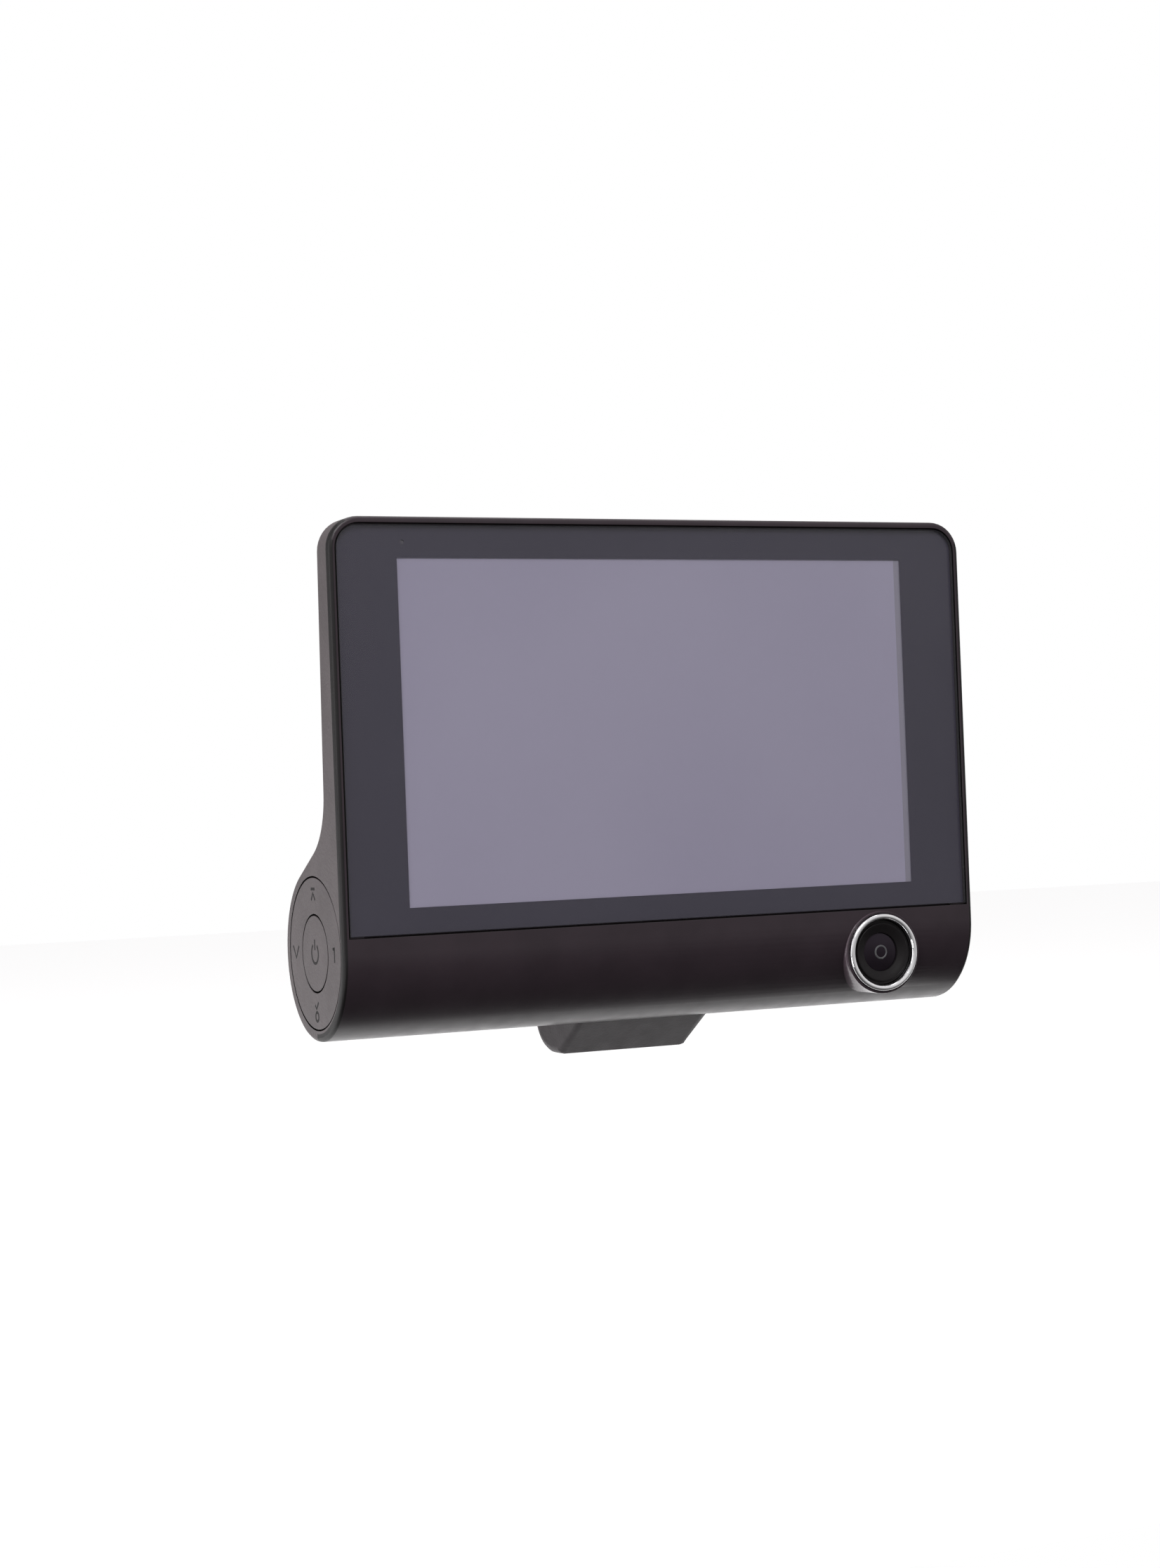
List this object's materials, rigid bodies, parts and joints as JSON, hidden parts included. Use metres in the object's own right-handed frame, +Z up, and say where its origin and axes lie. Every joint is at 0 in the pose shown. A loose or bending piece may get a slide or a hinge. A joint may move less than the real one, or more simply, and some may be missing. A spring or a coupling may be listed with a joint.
{
  "type": "dash camera",
  "caption": "Dash camera: a thin glass-fronted screen slab on a round lower tube with a side key pad, a chrome-ringed cabin lens and a road lens housing.",
  "frame": {"origin": "middle of the bracket slot on the back of the slab", "axes": "+X to the right of a person facing the screen, along the body's width; +Y from the screen towards the road; +Z up, out of the slot's open end"},
  "size_m": [0.108, 0.0328, 0.0831],
  "materials": {
    "front_bezel": "near-black, softly glossy moulded plastic",
    "rear_cover": "fine-grained dark grey plastic",
    "road_lens_housing": "fine-grained charcoal plastic",
    "bracket_shoe": "fine-grained charcoal plastic",
    "screen_glass": "clear flat cover glass",
    "screen_mask": "blue-black printed border",
    "glass_tape": "black adhesive foam",
    "lcd_panel": "switched-off lavender grey screen",
    "light_guide": "milky acrylic",
    "backlight_tray": "thin pressed steel",
    "lcd_ribbon": "amber flexible circuit",
    "indicator_led": "smoky lens of a small indicator",
    "ring_key": "fine-grained dark grey plastic",
    "power_key": "fine-grained dark grey plastic",
    "key_gimbal": "acetal",
    "key_frame": "moulded ABS",
    "key_membrane": "silicone sheet with domes",
    "tact_switches": "steel-topped switches",
    "key_board": "green circuit board",
    "key_ribbon": "amber flexible circuit",
    "cabin_chrome_ring": "bright polished chrome plate",
    "cabin_lens_barrel": "black moulded barrel",
    "cabin_front_lens": "dark coated glass, modelled opaque",
    "cabin_rear_lens": "coated glass element, modelled opaque",
    "cabin_lens_holder": "black moulded holder",
    "cabin_image_sensor": "image sensor",
    "cabin_sensor_board": "green circuit board",
    "cabin_ribbon": "amber flexible circuit",
    "road_trim_ring": "black trim ring",
    "road_lens_barrel": "black anodised barrel",
    "road_front_lens": "dark coated wide-angle glass, modelled opaque",
    "road_retaining_ring": "black threaded ring",
    "road_rear_lens": "coated glass element, modelled opaque",
    "road_lens_holder": "black moulded holder",
    "road_image_sensor": "image sensor",
    "road_sensor_board": "green circuit board",
    "main_board": "green circuit board",
    "processor": "black chip",
    "heat_pad": "soft silicone pad",
    "shield_can": "tinned steel can",
    "memory_chip": "black chip",
    "clock_cell": "stainless cell",
    "battery": "foil pouch cell",
    "battery_pad": "adhesive foam",
    "speaker": "speaker frame",
    "speaker_mesh": "black woven mesh",
    "microphone": "capsule",
    "usb_socket": "nickel-plated shell",
    "camera_jack": "black jack body",
    "card_socket": "pressed steel socket",
    "memory_card": "black memory card",
    "reset_switch": "tact switch",
    "reset_button": "white plunger",
    "board_screws": "pan head screws",
    "case_screws": "blackened pan head screws",
    "housing_screws": "pan head screws",
    "shoe_screws": "pan head screws"
  },
  "bodies": {
    "casing": {"front_bezel": "front_bezel", "rear_cover": "rear_cover", "road_lens_housing": "road_lens_housing", "bracket_shoe": "bracket_shoe", "screen_glass": "screen_glass", "screen_mask": "screen_mask", "glass_tape": "glass_tape", "lcd_panel": "lcd_panel", "light_guide": "light_guide", "backlight_tray": "backlight_tray", "lcd_ribbon": "lcd_ribbon", "indicator_led": "indicator_led", "key_frame": "key_frame", "key_membrane": "key_membrane", "tact_switches": "tact_switches", "key_board": "key_board", "key_ribbon": "key_ribbon", "cabin_chrome_ring": "cabin_chrome_ring", "cabin_lens_barrel": "cabin_lens_barrel", "cabin_front_lens": "cabin_front_lens", "cabin_rear_lens": "cabin_rear_lens", "cabin_lens_holder": "cabin_lens_holder", "cabin_image_sensor": "cabin_image_sensor", "cabin_sensor_board": "cabin_sensor_board", "cabin_ribbon": "cabin_ribbon", "road_trim_ring": "road_trim_ring", "road_lens_barrel": "road_lens_barrel", "road_front_lens": "road_front_lens", "road_retaining_ring": "road_retaining_ring", "road_rear_lens": "road_rear_lens", "road_lens_holder": "road_lens_holder", "road_image_sensor": "road_image_sensor", "road_sensor_board": "road_sensor_board", "main_board": "main_board", "processor": "processor", "heat_pad": "heat_pad", "shield_can": "shield_can", "memory_chip": "memory_chip", "clock_cell": "clock_cell", "battery": "battery", "battery_pad": "battery_pad", "speaker": "speaker", "speaker_mesh": "speaker_mesh", "microphone": "microphone", "usb_socket": "usb_socket", "camera_jack": "camera_jack", "card_socket": "card_socket", "reset_switch": "reset_switch", "board_screws": "board_screws", "case_screws": "case_screws", "housing_screws": "housing_screws", "shoe_screws": "shoe_screws"},
    "power_key": {"power_key": "power_key"},
    "key_gimbal": {"key_gimbal": "key_gimbal"},
    "ring_key": {"ring_key": "ring_key"},
    "memory_card": {"memory_card": "memory_card"},
    "reset_button": {"reset_button": "reset_button"}
  },
  "joints": [
    {"name": "power_key_press", "type": "slide", "parent": "casing", "child": "power_key", "axis": [1, 0, 0], "range_m": [0, 0.0005], "stiffness_N_per_m": 600},
    {"name": "ring_key_up_down", "type": "hinge", "parent": "casing", "child": "key_gimbal", "pos_m": [-0.0509, 0.0039, -0.0527], "axis": [0, 1, 0], "range_deg": [-2, 2], "stiffness_Nm_per_rad": 0.6},
    {"name": "ring_key_front_back", "type": "hinge", "parent": "key_gimbal", "child": "ring_key", "pos_m": [-0.0509, 0.0039, -0.0527], "axis": [0, 0, 1], "range_deg": [-2, 2], "stiffness_Nm_per_rad": 0.6},
    {"name": "memory_card_slide", "type": "slide", "parent": "casing", "child": "memory_card", "axis": [1, 0, 0], "range_m": [0, 0.004]},
    {"name": "reset_button_press", "type": "slide", "parent": "casing", "child": "reset_button", "axis": [-1, 0, 0], "range_m": [0, 0.0003], "stiffness_N_per_m": 500}
  ]
}
